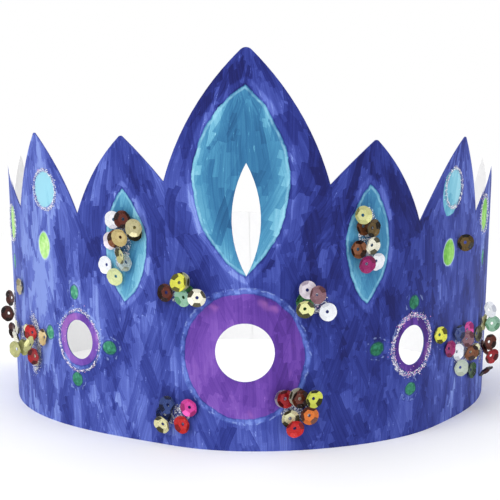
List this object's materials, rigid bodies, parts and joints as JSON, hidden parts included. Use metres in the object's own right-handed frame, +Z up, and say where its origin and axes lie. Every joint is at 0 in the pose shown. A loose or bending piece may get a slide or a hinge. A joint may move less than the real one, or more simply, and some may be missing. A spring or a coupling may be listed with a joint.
{
  "type": "paper crown",
  "caption": "Child's paper crown: a ring of card with pointed top edge, front cut-outs, marker colouring, glitter glue rings and clusters of cup sequins",
  "frame": {"origin": "middle of the footprint, on the surface the bottom rim stands on", "axes": "+X to the wearer's left as seen from the front (right in a front view), +Y to the back, +Z up"},
  "size_m": [0.1828, 0.2034, 0.129],
  "materials": {
    "card": "matt white card, coloured with markers outside",
    "glitter": "dried glue full of silver glitter",
    "glue": "clear dried glue with glitter",
    "sequin_dark": "glossy faceted film",
    "sequin_olive": "glossy faceted film",
    "sequin_pale": "glossy faceted film",
    "sequin_red": "glossy faceted film",
    "sequin_blush": "glossy faceted film",
    "sequin_brown": "glossy faceted film",
    "sequin_clear": "glossy faceted film",
    "sequin_dark_gold": "glossy faceted film",
    "sequin_garnet": "glossy faceted film",
    "sequin_khaki": "glossy faceted film",
    "sequin_olive_gold": "glossy faceted film",
    "sequin_pale_green": "glossy faceted film",
    "sequin_pearl": "glossy faceted film",
    "sequin_tan": "glossy faceted film",
    "sequin_white": "glossy faceted film",
    "sequin_beige": "glossy faceted film",
    "sequin_gold": "glossy faceted film",
    "sequin_blue": "glossy faceted film",
    "sequin_navy": "glossy faceted film",
    "sequin_pale_gold": "glossy faceted film",
    "sequin_pink": "glossy faceted film",
    "sequin_cream": "glossy faceted film",
    "sequin_ivory": "glossy faceted film",
    "sequin_lilac": "glossy faceted film",
    "sequin_lime": "glossy faceted film",
    "sequin_orange": "glossy faceted film",
    "sequin_rose": "glossy faceted film",
    "sequin_green": "glossy faceted film",
    "sequin_black": "glossy faceted film",
    "sequin_magenta": "glossy faceted film",
    "sequin_yellow": "glossy faceted film",
    "sequin_sea_green": "glossy faceted film",
    "sequin_silver": "glossy faceted film",
    "sequin_mauve": "glossy faceted film",
    "sequin_pale_yellow": "glossy faceted film"
  },
  "bodies": {
    "root": {"crown_card": "card", "glitter_band": "glitter", "glitter_circle_rings": "glitter", "glitter_hole_rings": "glitter", "glue_dabs": "glue", "sequin_left_heap_dark": "sequin_dark", "sequin_left_heap_olive": "sequin_olive", "sequin_left_heap_pale": "sequin_pale", "sequin_left_heap_red": "sequin_red", "sequin_left_leaf_blush": "sequin_blush", "sequin_left_leaf_brown": "sequin_brown", "sequin_left_leaf_clear": "sequin_clear", "sequin_left_leaf_dark_gold": "sequin_dark_gold", "sequin_left_leaf_garnet": "sequin_garnet", "sequin_left_leaf_khaki": "sequin_khaki", "sequin_left_leaf_olive_gold": "sequin_olive_gold", "sequin_left_leaf_pale_green": "sequin_pale_green", "sequin_left_leaf_pearl": "sequin_pearl", "sequin_left_leaf_tan": "sequin_tan", "sequin_left_leaf_white": "sequin_white", "sequin_left_side_beige": "sequin_beige", "sequin_left_side_gold": "sequin_gold", "sequin_lower_left_blue": "sequin_blue", "sequin_lower_left_navy": "sequin_navy", "sequin_lower_left_pale_gold": "sequin_pale_gold", "sequin_lower_left_pink": "sequin_pink", "sequin_lower_left_red": "sequin_red", "sequin_lower_right_cream": "sequin_cream", "sequin_lower_right_garnet": "sequin_garnet", "sequin_lower_right_ivory": "sequin_ivory", "sequin_lower_right_lilac": "sequin_lilac", "sequin_lower_right_lime": "sequin_lime", "sequin_lower_right_orange": "sequin_orange", "sequin_lower_right_red": "sequin_red", "sequin_lower_right_rose": "sequin_rose", "sequin_right_heap_blue": "sequin_blue", "sequin_right_heap_dark": "sequin_dark", "sequin_right_heap_green": "sequin_green", "sequin_right_heap_pale": "sequin_pale", "sequin_right_heap_red": "sequin_red", "sequin_right_leaf_black": "sequin_black", "sequin_right_leaf_brown": "sequin_brown", "sequin_right_leaf_cream": "sequin_cream", "sequin_right_leaf_magenta": "sequin_magenta", "sequin_right_leaf_olive": "sequin_olive", "sequin_right_leaf_white": "sequin_white", "sequin_right_side_black": "sequin_black", "sequin_right_side_yellow": "sequin_yellow", "sequin_upper_left_cream": "sequin_cream", "sequin_upper_left_garnet": "sequin_garnet", "sequin_upper_left_green": "sequin_green", "sequin_upper_left_sea_green": "sequin_sea_green", "sequin_upper_left_silver": "sequin_silver", "sequin_upper_left_yellow": "sequin_yellow", "sequin_upper_right_blush": "sequin_blush", "sequin_upper_right_green": "sequin_green", "sequin_upper_right_mauve": "sequin_mauve", "sequin_upper_right_pale_yellow": "sequin_pale_yellow", "sequin_upper_right_white": "sequin_white"}
  },
  "joints": []
}
